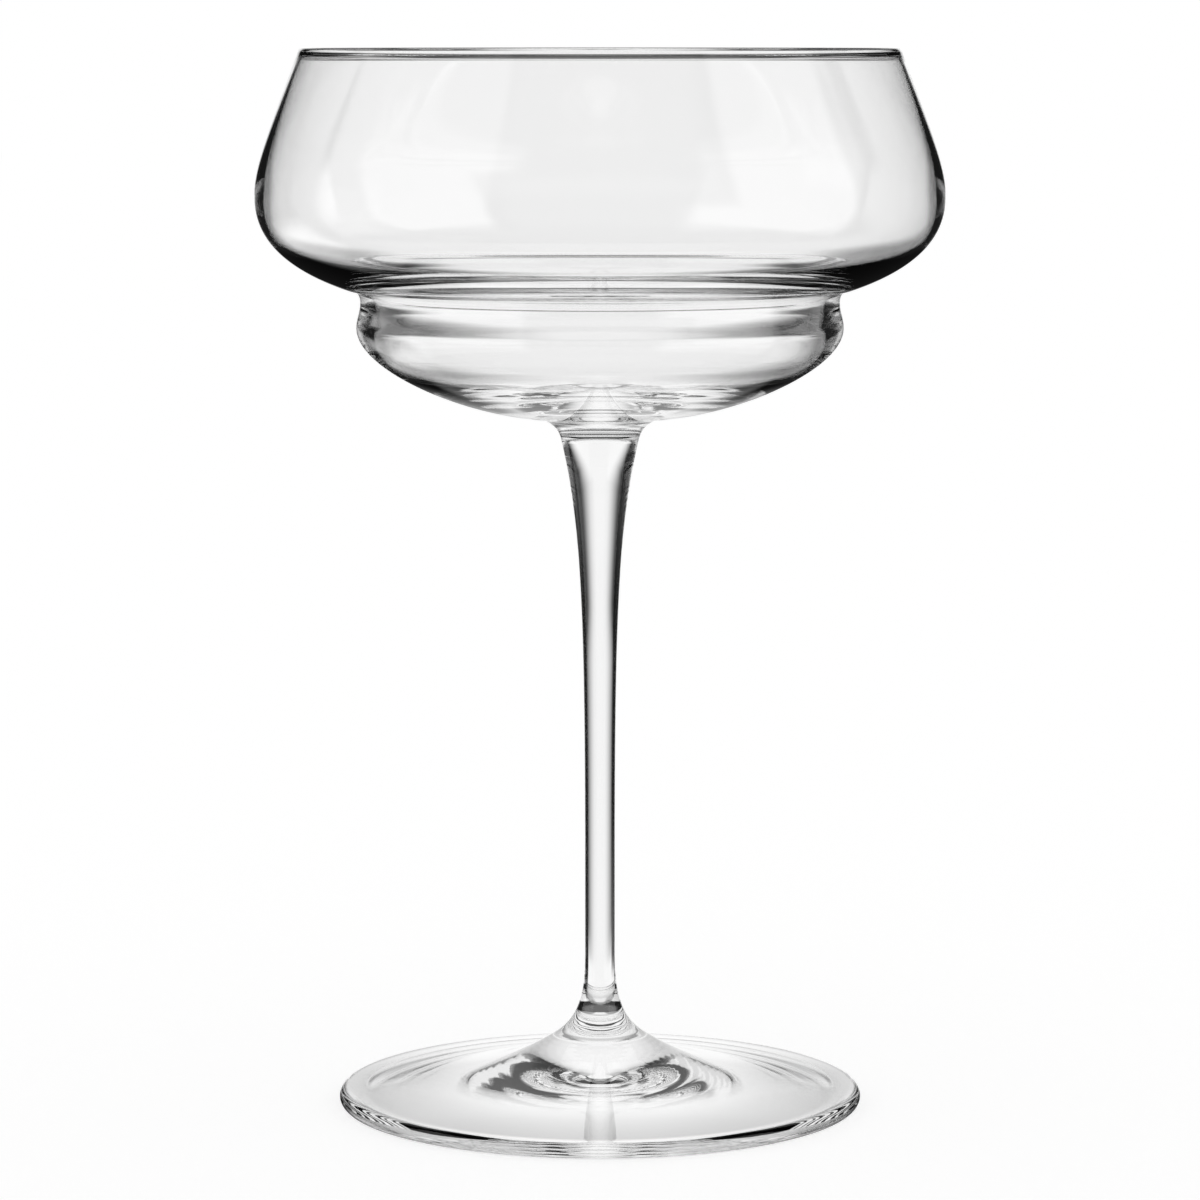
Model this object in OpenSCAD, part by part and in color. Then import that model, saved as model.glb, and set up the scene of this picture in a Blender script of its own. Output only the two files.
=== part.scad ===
// Stemmed cocktail glass with a stepped bowl: a blown bowl, a solid stem and a pressed foot, turned about
// +Z and welded on two flat faces. Millimetres, standing on z = 0 with the axis through the origin.

/* [Bowl] */
// Outside diameter of the belly, the widest place
belly_d = 106.6; // [96:0.2:124]
// How far the middle of the rounded lip lies inside the belly
rim_inset = 7.5; // [3:0.1:12]
// Outside diameter of the waist, the groove under the shoulder
waist_d = 74.2; // [62:0.2:84]
// How far the waist lies inside the widest place of the lower bowl
groove_depth = 0.6; // [0.2:0.1:2]
// How far the shoulder reaches out past the waist before it turns up
step_run = 2.4; // [1.5:0.1:5]
// How far the neck spreads from the upper weld to the underside of the bowl
neck_run = 4.2; // [2:0.1:8]
// Height of the rim over the belly
rim_rise = 22.8; // [16:0.2:36]
// Height of the belly over the step
belly_rise = 14.1; // [9:0.1:22]
// Height of the step over the waist
step_rise = 2.2; // [1.5:0.1:4]
// Height of the waist over the widest place of the lower bowl
waist_rise = 3.9; // [2.5:0.1:8]
// Height of that place over the underside
lower_rise = 14; // [10:0.2:24]
// Height of the underside over the upper weld
neck_rise = 3.3; // [2:0.1:6]
// Lean of the wall at the rim, in degrees from upright
rim_lean = 20.5; // [8:0.5:28]
// Slope of the shoulder where it leaves the step, in degrees
shoulder_slope = 19.5; // [10:0.5:32]
// Slope of the underside where it leaves the neck, in degrees
underside_slope = 4; // [2:0.5:10]

/* [Bowl wall] */
// Thickness of the rounded lip
lip_wall = 1.2; // [1:0.05:2]
// Length of the swelling that the lip makes on the inside
lip_length = 1; // [0.6:0.1:3]
// Thickness of the wall under the lip
side_wall = 0.75; // [0.6:0.05:1.1]
// Thickness of the wall at the belly
belly_wall = 1.4; // [0.9:0.05:2.2]
// How much the wall of the shoulder thins, halfway from the step to the belly
shoulder_thinning = 0.45; // [0:0.05:0.6]
// Thickness of the wall at the step
step_wall = 1.9; // [1.4:0.1:3]
// How much the wall thickens inside the step, halfway from the waist to the shoulder
step_thickening = 0.4; // [0:0.1:1]
// Thickness of the wall at the waist
waist_wall = 2.4; // [1.8:0.1:3.6]
// Thickness of the wall of the lower bowl
lower_wall = 2.8; // [2:0.1:4]
// How much the wall thins at the heel, halfway from the floor to the lower bowl
heel_thinning = 1.7; // [0:0.1:2]
// Thickness of the floor round the rise in its middle
floor_wall = 4.3; // [3:0.1:6]
// Height of the rise in the middle of the floor
floor_rise = 1.2; // [0.4:0.1:2]

/* [Stem] */
// Diameter of the upper weld, where stem and bowl meet
upper_weld_d = 12.1; // [9:0.1:16]
// Diameter of the stem at its slimmest
slim_d = 4.7; // [3.5:0.1:7]
// Diameter of the lower weld, where stem and foot meet
lower_weld_d = 14.5; // [11:0.1:20]
// Length of the taper under the upper weld
taper_length = 66.7; // [50:0.5:90]
// Length of the slimmest stretch
slim_length = 14.5; // [6:0.5:30]
// Length of the flare over the lower weld
flare_length = 12.7; // [9:0.1:20]
// Lean of the side at the upper weld, in degrees from upright
upper_weld_lean = 13; // [6:0.5:24]
// Slope of the side at the lower weld, in degrees
lower_weld_slope = 32; // [22:1:45]

/* [Foot] */
// Diameter of the foot
foot_d = 82; // [68:0.5:100]
// Height of the foot's crown, up to the lower weld
crown_height = 10.8; // [8:0.1:16]
// Thickness of the rounded edge
edge_wall = 2.7; // [2:0.1:4]
// Slope of the top where it meets the rounded edge, in degrees
edge_slope = 4; // [2:0.5:8]
// Width of the flat ring that the glass stands on
ring_width = 2.5; // [1:0.1:6]
// Height of the hollow under the foot
hollow_height = 4.2; // [2:0.1:6]
// Slope of the hollow where it leaves the ring, in degrees
hollow_slope = 9; // [4:1:16]

/* [Hidden] */

// Straight pieces that stand for one span of a curve, and facets of a full turn
span_steps = 12;
$fn = 180;

// How far a span keeps its end's heading, as a share of the straight distance between its two ends
even_reach = 0.38;
long_reach = 0.62;
short_reach = 0.2;

glass_colour = [0.86, 0.92, 0.93, 0.5];

// Heights of the stations, from the floor up
lower_weld_z = crown_height;
slim_start_z = lower_weld_z + flare_length;
slim_end_z = slim_start_z + slim_length;
upper_weld_z = slim_end_z + taper_length;
underside_z = upper_weld_z + neck_rise;
lower_z = underside_z + lower_rise;
waist_z = lower_z + waist_rise;
step_z = waist_z + step_rise;
belly_z = step_z + belly_rise;
rim_z = belly_z + rim_rise;

// The lip's round section
lip_heading = 90 + rim_lean;
lip_centre = [belly_d / 2 - rim_inset, rim_z - lip_wall / 2];

// The foot edge's round section
edge_centre = [(foot_d - edge_wall) / 2, edge_wall / 2];

// Unit step along a heading, in degrees from the outward direction
function along(heading) = [cos(heading), sin(heading)];

// Points of an arc about a centre
function arc(centre, radius, from, to) =
    [for (i = [0 : span_steps]) centre + radius * along(from + (to - from) * i / span_steps)];

// A station: a point that the outline passes, its heading there, how far it reaches back and on,
// how thick the wall is there, and how much it thins halfway to the next station
function station(point, heading, back = even_reach, on = even_reach, wall = 0, thinning = 0) =
    [point, heading, back, on, wall, thinning];

// The same place on the inner face of the wall, to the left of the heading
function inner_point(outer) = outer[0] + outer[4] * along(outer[1] + 90);

// Cubic curve through two stations, without its last point
// Depth 0 is the outer face of the wall and depth 1 the inner face
function span(a, b, depth) =
    let (
        chord = norm(b[0] - a[0]),
        leave = a[0] + a[3] * chord * along(a[1]),
        arrive = b[0] - b[2] * chord * along(b[1])
    )
    [for (i = [0 : span_steps - 1])
        let (
            t = i / span_steps,
            u = 1 - t,
            run = u * u * (leave - a[0]) + 2 * u * t * (arrive - leave) + t * t * (b[0] - arrive),
            wall = a[4] + (b[4] - a[4]) * t * t * (3 - 2 * t) - 16 * a[5] * t * t * u * u
        )
        u * u * u * a[0] + 3 * u * u * t * leave + 3 * u * t * t * arrive + t * t * t * b[0]
            + depth * wall * [-run[1], run[0]] / norm(run)];

// Smooth curve through a list of stations, on the outer or the inner face
function smooth(stations, depth = 0) =
    let (last = stations[len(stations) - 1])
    [for (i = [0 : len(stations) - 2]) each span(stations[i], stations[i + 1], depth),
     depth == 0 ? last[0] : inner_point(last)];

function reversed(points) = [for (i = [len(points) - 1 : -1 : 0]) points[i]];

module turned(outline) rotate_extrude() polygon(outline);

module bowl() {
    lip_base = lip_centre + lip_wall / 2 * along(lip_heading - 90);
    weld = station([upper_weld_d / 2, upper_weld_z], 90 - upper_weld_lean);
    underside = station([upper_weld_d / 2 + neck_run, underside_z], underside_slope,
                        wall = floor_wall, thinning = heel_thinning);
    side = [
        underside,
        station([waist_d / 2 + groove_depth, lower_z], 90, back = short_reach, wall = lower_wall),
        station([waist_d / 2, waist_z], 90, on = long_reach,
                wall = waist_wall, thinning = -step_thickening),
        station([waist_d / 2 + step_run, step_z], shoulder_slope,
                wall = step_wall, thinning = shoulder_thinning),
        station([belly_d / 2, belly_z], 90, on = short_reach, wall = belly_wall),
        station(lip_base - lip_length * along(lip_heading), lip_heading, back = long_reach,
                wall = side_wall),
        station(lip_base, lip_heading, wall = lip_wall)
    ];
    floor_middle = station([0, underside_z + floor_wall + floor_rise], 0);
    floor_edge = station(inner_point(underside), underside_slope);
    color(glass_colour) turned([
        [0, upper_weld_z],
        each smooth([weld, each side]),
        each arc(lip_centre, lip_wall / 2, lip_heading - 90, lip_heading + 90),
        each reversed([each span(floor_middle, floor_edge, 0), each smooth(side, 1)])
    ]);
}

module stem() {
    side = [
        station([lower_weld_d / 2, lower_weld_z], 180 - lower_weld_slope),
        station([slim_d / 2, slim_start_z], 90),
        station([slim_d / 2, slim_end_z], 90, even_reach, long_reach),
        station([upper_weld_d / 2, upper_weld_z], 90 - upper_weld_lean, short_reach)
    ];
    color(glass_colour) turned([[0, lower_weld_z], each smooth(side), [0, upper_weld_z]]);
}

module foot() {
    edge_top = edge_centre + edge_wall / 2 * along(90 - edge_slope);
    top = [
        station([lower_weld_d / 2, lower_weld_z], -lower_weld_slope, even_reach, short_reach),
        station(edge_top, -edge_slope, long_reach)
    ];
    hollow = [
        station([edge_centre[0] - ring_width, 0], 180 - hollow_slope),
        station([0, hollow_height], 180)
    ];
    color(glass_colour) turned([
        [0, lower_weld_z],
        each smooth(top),
        each arc(edge_centre, edge_wall / 2, 90 - edge_slope, -90),
        each smooth(hollow)
    ]);
}

bowl();
stem();
foot();
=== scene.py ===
# %% [markdown]
# # A stemmed cocktail glass
# The real glass is made of three hot pieces: a blown bowl, a drawn stem and a pressed foot, fire-welded
# end to end. The CAD model holds them as three solids, and this lesson gives each one a fine turned mesh
# and a clear glass finish. Everything is in metres, in the frame that the CAD model sets: the glass stands
# on z = 0 and its axis is +Z.

# %% Load the frame
import math

import bpy
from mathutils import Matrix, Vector


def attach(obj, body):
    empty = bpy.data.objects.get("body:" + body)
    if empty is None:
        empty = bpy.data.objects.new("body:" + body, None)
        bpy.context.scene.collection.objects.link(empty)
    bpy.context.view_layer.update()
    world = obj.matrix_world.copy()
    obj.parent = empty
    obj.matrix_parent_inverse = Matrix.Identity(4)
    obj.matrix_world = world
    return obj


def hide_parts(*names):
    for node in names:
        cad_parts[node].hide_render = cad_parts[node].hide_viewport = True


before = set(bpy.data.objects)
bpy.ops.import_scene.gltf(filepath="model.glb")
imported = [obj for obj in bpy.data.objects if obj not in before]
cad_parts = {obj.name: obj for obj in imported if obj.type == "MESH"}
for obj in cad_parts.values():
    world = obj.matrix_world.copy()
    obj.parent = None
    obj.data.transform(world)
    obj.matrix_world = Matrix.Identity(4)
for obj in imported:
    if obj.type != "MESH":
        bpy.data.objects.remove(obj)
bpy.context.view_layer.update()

# %% [markdown]
# ## How a turned piece is drawn
# A glass blower shapes these pieces while they turn, so each one is round about the axis. A mesh could be
# pulled from a cylinder ring by ring, but a half section walked from station to station keeps every
# swelling smooth.
# A station is a point of the section, the heading of the wall there in degrees (0 is outward, 90 is up),
# how far the curve keeps that heading on either side, how thick the wall is, and how much it thins halfway
# to the next station. Between two stations the walk is a cubic curve. The inner face is the same walk, set
# in at right angles by a wall that changes slowly, as it does in blown glass.

# %% Stations and the walk between them
MM = 0.001
EVEN, LONG, SHORT = 0.38, 0.62, 0.2
SPAN_STEPS, FINE_STEPS = 28, 60


def along(heading):
    angle = math.radians(heading)
    return Vector((math.cos(angle), 0.0, math.sin(angle)))


def place(radius, height):
    return Vector((radius, 0.0, height)) * MM


def station(point, heading, back=EVEN, on=EVEN, wall=0.0, thinning=0.0):
    return {"point": point, "heading": heading, "back": back, "on": on, "wall": wall, "thinning": thinning}


def inner_point(outer):
    return outer["point"] + outer["wall"] * MM * along(outer["heading"] + 90)


def walk(stations, depth=0, steps=SPAN_STEPS):
    points = []
    for a, b in zip(stations, stations[1:]):
        start, end = a["point"], b["point"]
        chord = (end - start).length
        leave = start + a["on"] * chord * along(a["heading"])
        arrive = end - b["back"] * chord * along(b["heading"])
        for i in range(steps + 1):
            t = i / steps
            u = 1 - t
            spot = u**3 * start + 3 * u * u * t * leave + 3 * u * t * t * arrive + t**3 * end
            run = u * u * (leave - start) + 2 * u * t * (arrive - leave) + t * t * (end - arrive)
            blend = t * t * (3 - 2 * t)
            wall = a["wall"] + (b["wall"] - a["wall"]) * blend - 16 * a["thinning"] * t * t * u * u
            points.append(spot + depth * wall * MM * Vector((-run.z, 0, run.x)).normalized())
    return points


def arc(centre, radius, start, end):
    turns = [start + (end - start) * i / SPAN_STEPS for i in range(SPAN_STEPS + 1)]
    return [centre + radius * MM * along(turn) for turn in turns]


print("points in one span:", SPAN_STEPS + 1, "or", FINE_STEPS + 1)

# %% [markdown]
# ## Turning the half section
# The Screw modifier could turn the half section, and so can Spin in edit mode, which does what a potter's
# wheel does. Spin leaves a seam where the turn closes and a heap of points on the axis, so the doubles are
# merged afterwards. Only then are the normals recalculated, so that they all point out of the closed glass.

# %% Draw and spin
TURN_STEPS = 192
MERGE = 1e-6
SHARP = math.radians(50)


def draw_half_section(name, points):
    bpy.ops.object.select_all(action="DESELECT")
    bpy.ops.curve.primitive_bezier_curve_add(location=(0, 0, 0))
    bpy.ops.object.mode_set(mode="EDIT")
    bpy.ops.curve.spline_type_set(type="POLY")
    bpy.ops.object.mode_set(mode="OBJECT")
    half = bpy.context.object
    half.name = name
    spline = half.data.splines[0]
    spline.points.add(len(points) - len(spline.points))
    for knot, point in zip(spline.points, points):
        knot.co = (*point, 1)


def turned(name, points):
    draw_half_section(name, points)
    bpy.ops.object.convert(target="MESH")
    piece = bpy.context.object
    piece.data.name = name
    bpy.ops.object.mode_set(mode="EDIT")
    bpy.ops.mesh.select_all(action="SELECT")
    bpy.ops.mesh.spin(steps=TURN_STEPS, angle=2 * math.pi, center=(0, 0, 0), axis=(0, 0, 1))
    bpy.ops.mesh.select_all(action="SELECT")
    bpy.ops.mesh.remove_doubles(threshold=MERGE)
    bpy.ops.mesh.normals_make_consistent(inside=False)
    bpy.ops.object.mode_set(mode="OBJECT")
    bpy.ops.object.shade_smooth_by_angle(angle=SHARP)
    size = [round(side / MM, 2) for side in piece.dimensions]
    print(name, len(piece.data.polygons), "faces, size in mm:", size)
    return piece


# %% [markdown]
# ## The bowl
# The bowl is blown into a mould and its rim is fire-polished, so the wall is thin above, thick below, and
# ends in a round lip. It could be a subdivided cylinder with a Solidify modifier, but that gives one wall
# thickness, and the look of glass hangs on how its wall changes. So the outside is walked from the upper
# weld over the neck, the lower bowl, the waist, the step and the belly to the lip, and the inside is the
# same walk set in by the wall.

# %% Bowl
UPPER_WELD_R, UPPER_WELD_Z, UPPER_WELD_LEAN = 6.05, 104.7, 13
LIP_R, LIP_TOP, LIP_WALL, LIP_LENGTH, LIP_HEADING = 45.8, 165.0, 1.2, 1.0, 110.5
UNDERSIDE_SLOPE, FLOOR_TOP = 4, 113.5

lip_centre = place(LIP_R, LIP_TOP - LIP_WALL / 2)
lip_base = lip_centre + LIP_WALL / 2 * MM * along(LIP_HEADING - 90)
lip_start = lip_base - LIP_LENGTH * MM * along(LIP_HEADING)
neck = station(place(UPPER_WELD_R, UPPER_WELD_Z), 90 - UPPER_WELD_LEAN)
underside = station(place(10.25, 108.0), UNDERSIDE_SLOPE, wall=4.3, thinning=1.7)
lower_bowl = station(place(37.7, 122.0), 90, back=SHORT, wall=2.8)
waist = station(place(37.1, 125.9), 90, on=LONG, wall=2.4, thinning=-0.4)
step = station(place(39.5, 128.1), 19.5, wall=1.9, thinning=0.45)
belly = station(place(53.3, 142.2), 90, on=SHORT, wall=1.4)
under_lip = station(lip_start, LIP_HEADING, back=LONG, wall=0.75)
lip_end = station(lip_base, LIP_HEADING, wall=LIP_WALL)
side = [underside, lower_bowl, waist, step, belly, under_lip, lip_end]

outside = [place(0, UPPER_WELD_Z)] + walk([neck] + side)
lip = arc(lip_centre, LIP_WALL / 2, LIP_HEADING - 90, LIP_HEADING + 90)
floor_rise = walk([station(place(0, FLOOR_TOP), 0), station(inner_point(underside), UNDERSIDE_SLOPE)])
inside = floor_rise + walk(side, depth=1)
bowl = turned("bowl_glass", outside + lip + inside[::-1])

# %% [markdown]
# ## The stem
# The stem is solid and drawn from a hot gather, so it swells smoothly to a weld face at each end. A
# cylinder with scaled rings would do, but then the slim stretch and the flare wouldn't run into each other
# so smoothly. It is turned like the bowl, and closes on the axis at both ends.

# %% Stem
LOWER_WELD_R, LOWER_WELD_Z, LOWER_WELD_SLOPE = 7.25, 10.8, 32
SLIM_R, SLIM_START, SLIM_END = 2.35, 23.5, 38.0

stem_side = walk([
    station(place(LOWER_WELD_R, LOWER_WELD_Z), 180 - LOWER_WELD_SLOPE),
    station(place(SLIM_R, SLIM_START), 90),
    station(place(SLIM_R, SLIM_END), 90, on=LONG),
    station(place(UPPER_WELD_R, UPPER_WELD_Z), 90 - UPPER_WELD_LEAN, back=SHORT),
], steps=FINE_STEPS)
stem = turned("stem_glass", [place(0, LOWER_WELD_Z)] + stem_side + [place(0, UPPER_WELD_Z)])

# %% [markdown]
# ## The foot
# The foot is pressed: a disc with a raised crown, a rounded edge, and a hollow underside that leaves a
# narrow ring to stand on. A flattened cylinder with a bevel would give the edge but not the hollow, so the
# foot is walked too. The ring is flat, so the walk has a straight stretch there.

# %% Foot
EDGE_R, EDGE_WALL, EDGE_SLOPE = 41.0, 2.7, 4
RING_WIDTH, HOLLOW, HOLLOW_SLOPE = 2.5, 4.2, 9

edge_centre = place(EDGE_R - EDGE_WALL / 2, EDGE_WALL / 2)
top = walk([
    station(place(LOWER_WELD_R, LOWER_WELD_Z), -LOWER_WELD_SLOPE, on=SHORT),
    station(edge_centre + EDGE_WALL / 2 * MM * along(90 - EDGE_SLOPE), -EDGE_SLOPE, back=LONG),
], steps=FINE_STEPS)
edge = arc(edge_centre, EDGE_WALL / 2, 90 - EDGE_SLOPE, -90)
hollow = walk([
    station(place(EDGE_R - EDGE_WALL / 2 - RING_WIDTH, 0), 180 - HOLLOW_SLOPE),
    station(place(0, HOLLOW), 180),
], steps=FINE_STEPS)
foot = turned("foot_glass", [place(0, LOWER_WELD_Z)] + top + edge + hollow)

# %% [markdown]
# ## Traces of the making
# Hot glass keeps a trace of how it was worked. A blown wall has slow waves, a drawn stem has long streaks,
# and round the lower weld the turning tool leaves fine rings. They are a few thousandths of a millimetre
# deep, so modelling them would need millions of faces. Two node groups give their height instead, in
# metres, from Object coordinates, and any glass can use them with its own depth.

# %% Node helpers
def link(tree, source, output, target, socket):
    tree.links.new(source.outputs[output], target.inputs[socket])


def feed(tree, socket, value):
    if isinstance(value, bpy.types.NodeSocket):
        tree.links.new(value, socket)
    else:
        socket.default_value = value


def math_node(tree, operation, *values):
    node = tree.nodes.new("ShaderNodeMath")
    node.operation = operation
    for socket, value in zip(node.inputs, values):
        feed(tree, socket, value)
    return node.outputs["Value"]


def ramp(tree, value, start, end, low=0.0, high=1.0, kind="SMOOTHSTEP"):
    node = tree.nodes.new("ShaderNodeMapRange")
    node.interpolation_type = kind
    names = ("Value", "From Min", "From Max", "To Min", "To Max")
    for name, setting in zip(names, (value, start, end, low, high)):
        feed(tree, node.inputs[name], setting)
    return node.outputs["Result"]


def height_group(name, inputs):
    group = bpy.data.node_groups.new(name, "ShaderNodeTree")
    for label, kind in inputs:
        group.interface.new_socket(label, in_out="INPUT", socket_type=kind)
    group.interface.new_socket("Height", in_out="OUTPUT", socket_type="NodeSocketFloat")
    spot = group.nodes.new("ShaderNodeTexCoord").outputs["Object"]
    return group, group.nodes.new("NodeGroupInput"), group.nodes.new("NodeGroupOutput"), spot


print("helpers ready")

# %% Waves
NOISE_DETAIL = 1.5

waves, given, result, spot = height_group(
    "hot_waves", [("Per Metre", "NodeSocketVector"), ("Depth", "NodeSocketFloat")])
stretched = waves.nodes.new("ShaderNodeVectorMath")
stretched.operation = "MULTIPLY"
waves.links.new(spot, stretched.inputs[0])
link(waves, given, "Per Metre", stretched, 1)
noise = waves.nodes.new("ShaderNodeTexNoise")
noise.inputs["Scale"].default_value = 1.0
noise.inputs["Detail"].default_value = NOISE_DETAIL
link(waves, stretched, "Vector", noise, "Vector")
feed(waves, result.inputs["Height"],
     math_node(waves, "MULTIPLY", noise.outputs["Fac"], given.outputs["Depth"]))
print("group:", waves.name, len(waves.nodes), "nodes")

# %% Rings
WELD_PLACE = (LOWER_WELD_R - LOWER_WELD_Z) * MM
RING_SPACING, RING_REACH = 1.3 * MM, 12 * MM

rings, given, result, spot = height_group("tool_rings", [("Depth", "NodeSocketFloat")])
axes = rings.nodes.new("ShaderNodeSeparateXYZ")
rings.links.new(spot, axes.inputs["Vector"])
squares = [math_node(rings, "POWER", axes.outputs[axis], 2.0) for axis in ("X", "Y")]
radius = math_node(rings, "SQRT", math_node(rings, "ADD", *squares))
walked = math_node(rings, "SUBTRACT", radius, axes.outputs["Z"])
from_weld = math_node(rings, "SUBTRACT", walked, WELD_PLACE)
ripple = math_node(rings, "SINE", math_node(rings, "MULTIPLY", from_weld, 2 * math.pi / RING_SPACING))
near_weld = ramp(rings, math_node(rings, "ABSOLUTE", from_weld), RING_REACH, 0.0)
shallow = math_node(rings, "MULTIPLY", near_weld, given.outputs["Depth"])
feed(rings, result.inputs["Height"], math_node(rings, "MULTIPLY", ripple, shallow))
print("group:", rings.name, len(rings.nodes), "nodes")

# %% [markdown]
# ## Clear glass
# Clear glass has almost no colour of its own: what is seen is the room, bent. The Principled shader with
# full transmission does that, and a Bump node turns the traces of the making into bent normals.
# Light that falls through the glass on to the floor would need very many samples, so shadow rays meet a
# Transparent shader instead. Each piece has its own values, because each one was worked in another way.

# %% Glass materials
GLASS_IOR = 1.5
GLASS_TINT, SHADOW_TINT = (0.988, 0.988, 0.988, 1), (0.9, 0.9, 0.9, 1)


def clear_glass(name, per_metre, wave_depth, ring_depth):
    material = bpy.data.materials.new(name)
    material.use_nodes = True
    tree = material.node_tree
    heights = []
    for group, settings in (
        (waves, {"Per Metre": per_metre, "Depth": wave_depth}),
        (rings, {"Depth": ring_depth}),
    ):
        node = tree.nodes.new("ShaderNodeGroup")
        node.node_tree = group
        for label, setting in settings.items():
            node.inputs[label].default_value = setting
        heights.append(node.outputs["Height"])
    bump = tree.nodes.new("ShaderNodeBump")
    bump.inputs["Distance"].default_value = 1.0
    feed(tree, bump.inputs["Height"], math_node(tree, "ADD", *heights))
    shader = tree.nodes["Principled BSDF"]
    shader.inputs["Base Color"].default_value = GLASS_TINT
    shader.inputs["Roughness"].default_value = 0.0
    shader.inputs["IOR"].default_value = GLASS_IOR
    shader.inputs["Transmission Weight"].default_value = 1.0
    link(tree, bump, "Normal", shader, "Normal")
    clear = tree.nodes.new("ShaderNodeBsdfTransparent")
    clear.inputs["Color"].default_value = SHADOW_TINT
    path = tree.nodes.new("ShaderNodeLightPath")
    mix = tree.nodes.new("ShaderNodeMixShader")
    link(tree, path, "Is Shadow Ray", mix, 0)
    link(tree, shader, "BSDF", mix, 1)
    link(tree, clear, "BSDF", mix, 2)
    link(tree, mix, "Shader", tree.nodes["Material Output"], "Surface")
    return material


blown_glass = clear_glass("blown_glass", per_metre=(45, 45, 90), wave_depth=12e-6, ring_depth=0.0)
drawn_glass = clear_glass("drawn_glass", per_metre=(150, 150, 8), wave_depth=2e-6, ring_depth=3e-6)
pressed_glass = clear_glass("pressed_glass", per_metre=(60, 60, 60), wave_depth=6e-6, ring_depth=3e-6)
print("glass materials:", blown_glass.name, drawn_glass.name, pressed_glass.name)

# %% [markdown]
# ## Welds
# In the real glass the weld faces are gone: the hot ends melted into one body. The pieces could be joined
# into one mesh, but each stays a closed mesh of its own here, so two faces meet at each weld. A
# pass-through material on those faces lets light go on unbent.

# %% Fused welds
fused_weld = bpy.data.materials.new("fused_weld")
fused_weld.use_nodes = True
fused_weld.node_tree.nodes["Principled BSDF"].inputs["Alpha"].default_value = 0.0


def finish_glass(piece, node, glass, weld_heights):
    piece.data.materials.append(glass)
    piece.data.materials.append(fused_weld)
    fused = 0
    for face in piece.data.polygons:
        heights = [piece.data.vertices[v].co.z for v in face.vertices]
        if any(max(abs(z - weld * MM) for z in heights) < MERGE for weld in weld_heights):
            face.material_index = 1
            fused += 1
    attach(piece, "root")
    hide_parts(node)
    print(piece.name, "faces:", len(piece.data.polygons), "of which fused:", fused)


finish_glass(bowl, "bowl", blown_glass, [UPPER_WELD_Z])
finish_glass(stem, "stem", drawn_glass, [UPPER_WELD_Z, LOWER_WELD_Z])
finish_glass(foot, "foot", pressed_glass, [LOWER_WELD_Z])

# %% [markdown]
# ## The floor
# The glass in the photo stands on white, with no edge of a table to be seen. A curved backdrop could do
# that, but a wide pale floor that glows a little is simpler and keeps a soft shadow. Rays that the glass
# has bent go through it, as they would through a clear table top, so that the foot shows the light behind
# it and not the floor's far end.

# %% Floor
FLOOR_SIZE, FLOOR_GREY, FLOOR_GLOW = 12.0, (0.8, 0.8, 0.8, 1), 0.6


def bent_rays(tree):
    path = tree.nodes.new("ShaderNodeLightPath")
    bent = math_node(tree, "MAXIMUM", path.outputs["Is Glossy Ray"], path.outputs["Is Transmission Ray"])
    return path, bent


bpy.ops.object.select_all(action="DESELECT")
bpy.ops.mesh.primitive_plane_add(size=FLOOR_SIZE, location=(0, 0, 0))
floor = bpy.context.object
floor.name = "floor"
pale = bpy.data.materials.new("pale_floor")
pale.use_nodes = True
tree = pale.node_tree
tree.nodes.clear()
matt = tree.nodes.new("ShaderNodeBsdfDiffuse")
matt.inputs["Color"].default_value = FLOOR_GREY
glow = tree.nodes.new("ShaderNodeEmission")
glow.inputs["Strength"].default_value = FLOOR_GLOW
both = tree.nodes.new("ShaderNodeAddShader")
link(tree, matt, "BSDF", both, 0)
link(tree, glow, "Emission", both, 1)
path, bent = bent_rays(tree)
mix = tree.nodes.new("ShaderNodeMixShader")
feed(tree, mix.inputs[0], bent)
link(tree, both, "Shader", mix, 1)
link(tree, tree.nodes.new("ShaderNodeBsdfTransparent"), "BSDF", mix, 2)
link(tree, mix, "Shader", tree.nodes.new("ShaderNodeOutputMaterial"), "Surface")
floor.data.materials.append(pale)
print("floor:", FLOOR_SIZE, "m wide")

# %% [markdown]
# ## The light card
# A photographer lights what is behind clear glass and not the glass itself. A card close behind it, hardly
# wider than the bowl, is seen through the middle of every piece. At the edges the glass bends the view past
# the card into the dark studio, and that draws the dark outline. Behind the stem the light fades slowly
# from the middle, so the stem looks round.
# The card could be an area lamp, but a glowing mesh can have any shape. Here it is a clear sheet that glows
# only where it is lit, and only to the front, so that the glass stays clear from other sides too.

# %% Card
CARD_Y, CARD_HALF, CARD_LOW, CARD_HIGH = 0.07, 0.14, -0.12, 0.24

bpy.ops.object.select_all(action="DESELECT")
card_middle = (0, CARD_Y, (CARD_LOW + CARD_HIGH) / 2)
bpy.ops.mesh.primitive_plane_add(size=2, location=card_middle, rotation=(math.pi / 2, 0, 0))
card = bpy.context.object
card.name = "light_card"
card.scale = (CARD_HALF, (CARD_HIGH - CARD_LOW) / 2, 1)
bpy.ops.object.transform_apply(location=True, rotation=True, scale=True)
card.visible_camera = card.visible_diffuse = card.visible_shadow = False
print("card:", [round(extent, 3) for extent in card.dimensions], "m")

# %% [markdown]
# ## Light on the card
# The light is brightest on the axis and fades to both sides. At each height it has a place where the fade
# starts and one where it ends, in millimetres from the axis. Both move outward behind the bowl, so that the
# bowl is lit up to its outline, and the foot has an even light of its own that dims towards the ground.

# %% Light on the card
FADE_END_FOOT, FADE_END_STEM, FADE_END_NECK, FADE_END_BOWL = 65, 43, 40, 71
FADE_START_STEM, FADE_START_BOWL = 5, 64
RIM_DIM, GROUND_DIM = 0.15, 0.3

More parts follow.
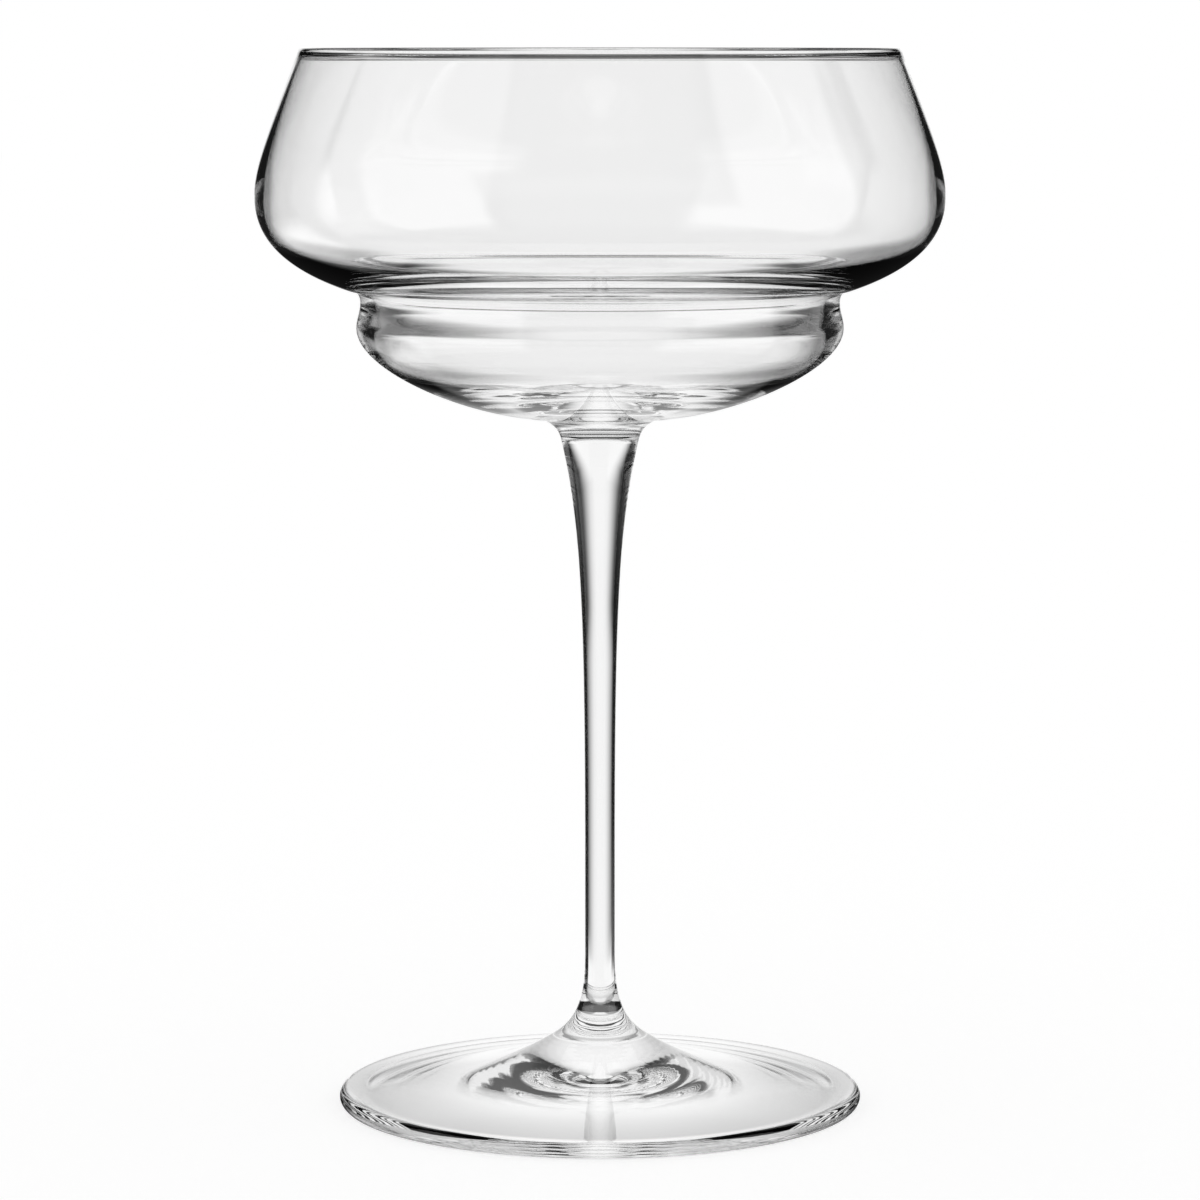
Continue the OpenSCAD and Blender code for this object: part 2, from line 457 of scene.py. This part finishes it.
card_light = bpy.data.materials.new("card_light")
card_light.use_nodes = True
tree = card_light.node_tree
tree.nodes.clear()
axes = tree.nodes.new("ShaderNodeSeparateXYZ")
link(tree, tree.nodes.new("ShaderNodeTexCoord"), "Object", axes, "Vector")
aside = math_node(tree, "DIVIDE", math_node(tree, "ABSOLUTE", axes.outputs["X"]), MM)
height = math_node(tree, "DIVIDE", axes.outputs["Z"], MM)

to_stem = ramp(tree, height, 60, 75, FADE_END_FOOT, FADE_END_STEM)
to_neck = ramp(tree, height, 85, 105, 0, FADE_END_NECK - FADE_END_STEM)
to_bowl = ramp(tree, height, 110, 132, 0, FADE_END_BOWL - FADE_END_NECK, "LINEAR")
fade_end = math_node(tree, "ADD", math_node(tree, "ADD", to_stem, to_neck), to_bowl)
fade_start = ramp(tree, height, 104, 137, FADE_START_STEM, FADE_START_BOWL, "LINEAR")
under_rim = ramp(tree, height, 182, 168, RIM_DIM, 1)
above_foot = math_node(tree, "MULTIPLY", ramp(tree, aside, fade_end, fade_start), under_rim)
to_ground = ramp(tree, height, -60, -15, GROUND_DIM, 1, "LINEAR")
behind_foot = math_node(tree, "MULTIPLY", ramp(tree, aside, 62, 50), to_ground)
upper = ramp(tree, height, 2, 14)
lower = math_node(tree, "SUBTRACT", 1.0, upper)
parts = [math_node(tree, "MULTIPLY", *pair) for pair in ((above_foot, upper), (behind_foot, lower))]
lit = math_node(tree, "ADD", *parts)
print("nodes for the light:", len(tree.nodes))

# %% Clear sheet
sheet = tree.nodes.new("ShaderNodeNewGeometry")
to_front = math_node(tree, "SUBTRACT", 1.0, sheet.outputs["Backfacing"])
mix = tree.nodes.new("ShaderNodeMixShader")
feed(tree, mix.inputs[0], math_node(tree, "MULTIPLY", lit, to_front))
link(tree, tree.nodes.new("ShaderNodeBsdfTransparent"), "BSDF", mix, 1)
link(tree, tree.nodes.new("ShaderNodeEmission"), "Emission", mix, 2)
link(tree, mix, "Shader", tree.nodes.new("ShaderNodeOutputMaterial"), "Surface")
card.data.materials.append(card_light)
print("card material:", card_light.name)

# %% [markdown]
# ## The room
# The room is a dark studio with soft windows. They could be area lamps, but drawn in the World by azimuth
# and elevation they stay at the same place for every piece of glass. Two tall softboxes give the light
# panels on the left and right of the bowl. From the front the card lies behind the glass, and a window
# does from the other sides that it may be seen from.

# %% Windows
DARK = 0.012
# Azimuth of the middle, half the width, lowest and highest elevation, strength and softness, in degrees
WINDOWS = [
    # Behind the glass, for a look from the front right, the back left and the right
    (135, 16, -40, -14, 1.0, 6),
    (315, 16, -30, 0, 1.0, 6),
    (180, 16, -22, 12, 1.0, 6),
    # Left and right softboxes
    (198, 35, -30, 48, 0.75, 3),
    (-20, 24, -30, 48, 0.9, 3),
    # Low and high behind the glass, the front, the ceiling and the ground
    (90, 18, -70, -44, 0.9, 6),
    (90, 45, 28, 54, 0.5, 8),
    (270, 40, 10, 60, 0.3, 8),
    (0, 200, 60, 100, 0.12, 6),
    (0, 200, -100, -55, 0.15, 8),
]
world = bpy.data.worlds.new("studio")
bpy.context.scene.world = world
world.use_nodes = True
tree = world.node_tree
tree.nodes.clear()
axes = tree.nodes.new("ShaderNodeSeparateXYZ")
link(tree, tree.nodes.new("ShaderNodeTexCoord"), "Generated", axes, "Vector")
azimuth = math_node(tree, "DEGREES", math_node(tree, "ARCTAN2", axes.outputs["Y"], axes.outputs["X"]))
elevation = math_node(tree, "DEGREES", math_node(tree, "ARCSINE", axes.outputs["Z"]))


def window(centre, half, low, high, strength, soft):
    off_centre = math_node(tree, "WRAP", math_node(tree, "SUBTRACT", azimuth, centre), 180, -180)
    across = ramp(tree, math_node(tree, "ABSOLUTE", off_centre), half + soft, half - soft)
    above = ramp(tree, elevation, low - soft, low + soft)
    below = ramp(tree, elevation, high + soft, high - soft)
    inside = math_node(tree, "MULTIPLY", math_node(tree, "MULTIPLY", across, above), below)
    return math_node(tree, "MULTIPLY", inside, strength)


studio = DARK
for settings in WINDOWS:
    studio = math_node(tree, "MAXIMUM", studio, window(*settings))
print("windows:", len(WINDOWS))

# %% [markdown]
# ## The background
# The background of the photo is plain white, and that is what the camera sees directly. Rays that the glass
# has bent or mirrored see the studio instead, and a plain level lights the floor.

# %% Background
PLAIN = 0.5

path, bent = bent_rays(tree)
level = tree.nodes.new("ShaderNodeMix")
level.data_type = "FLOAT"
feed(tree, level.inputs["Factor"], bent)
feed(tree, level.inputs["A"], math_node(tree, "MAXIMUM", path.outputs["Is Camera Ray"], PLAIN))
feed(tree, level.inputs["B"], studio)
back = tree.nodes.new("ShaderNodeBackground")
back.inputs["Color"].default_value = (1, 1, 1, 1)
link(tree, level, "Result", back, "Strength")
link(tree, back, "Background", tree.nodes.new("ShaderNodeOutputWorld"), "Surface")
print("world:", world.name, len(tree.nodes), "nodes")

# %% [markdown]
# ## The camera
# The rim in the photo is seen almost on edge and the foot from a little above, so the camera is as high as
# the rim and looks down by less than seven degrees. The two ellipses also give its distance. Light is bent
# many times on its way through the walls of the glass, so the limits on bounces are raised.

# %% Camera
CAMERA_AT, LOOKS_DOWN, LENS, SENSOR = (0, -0.7525, 0.167), 6.63, 145.8, 36

scene = bpy.context.scene
bpy.ops.object.camera_add(location=CAMERA_AT, rotation=(math.radians(90 - LOOKS_DOWN), 0, 0))
scene.camera = bpy.context.object
scene.camera.data.lens = LENS
scene.camera.data.sensor_width = SENSOR
scene.view_settings.view_transform = "Standard"
scene.cycles.max_bounces = 32
scene.cycles.transmission_bounces = 32
scene.cycles.glossy_bounces = 16
scene.cycles.transparent_max_bounces = 32
print("camera:", [round(c, 4) for c in scene.camera.location], "lens:", round(scene.camera.data.lens, 1))
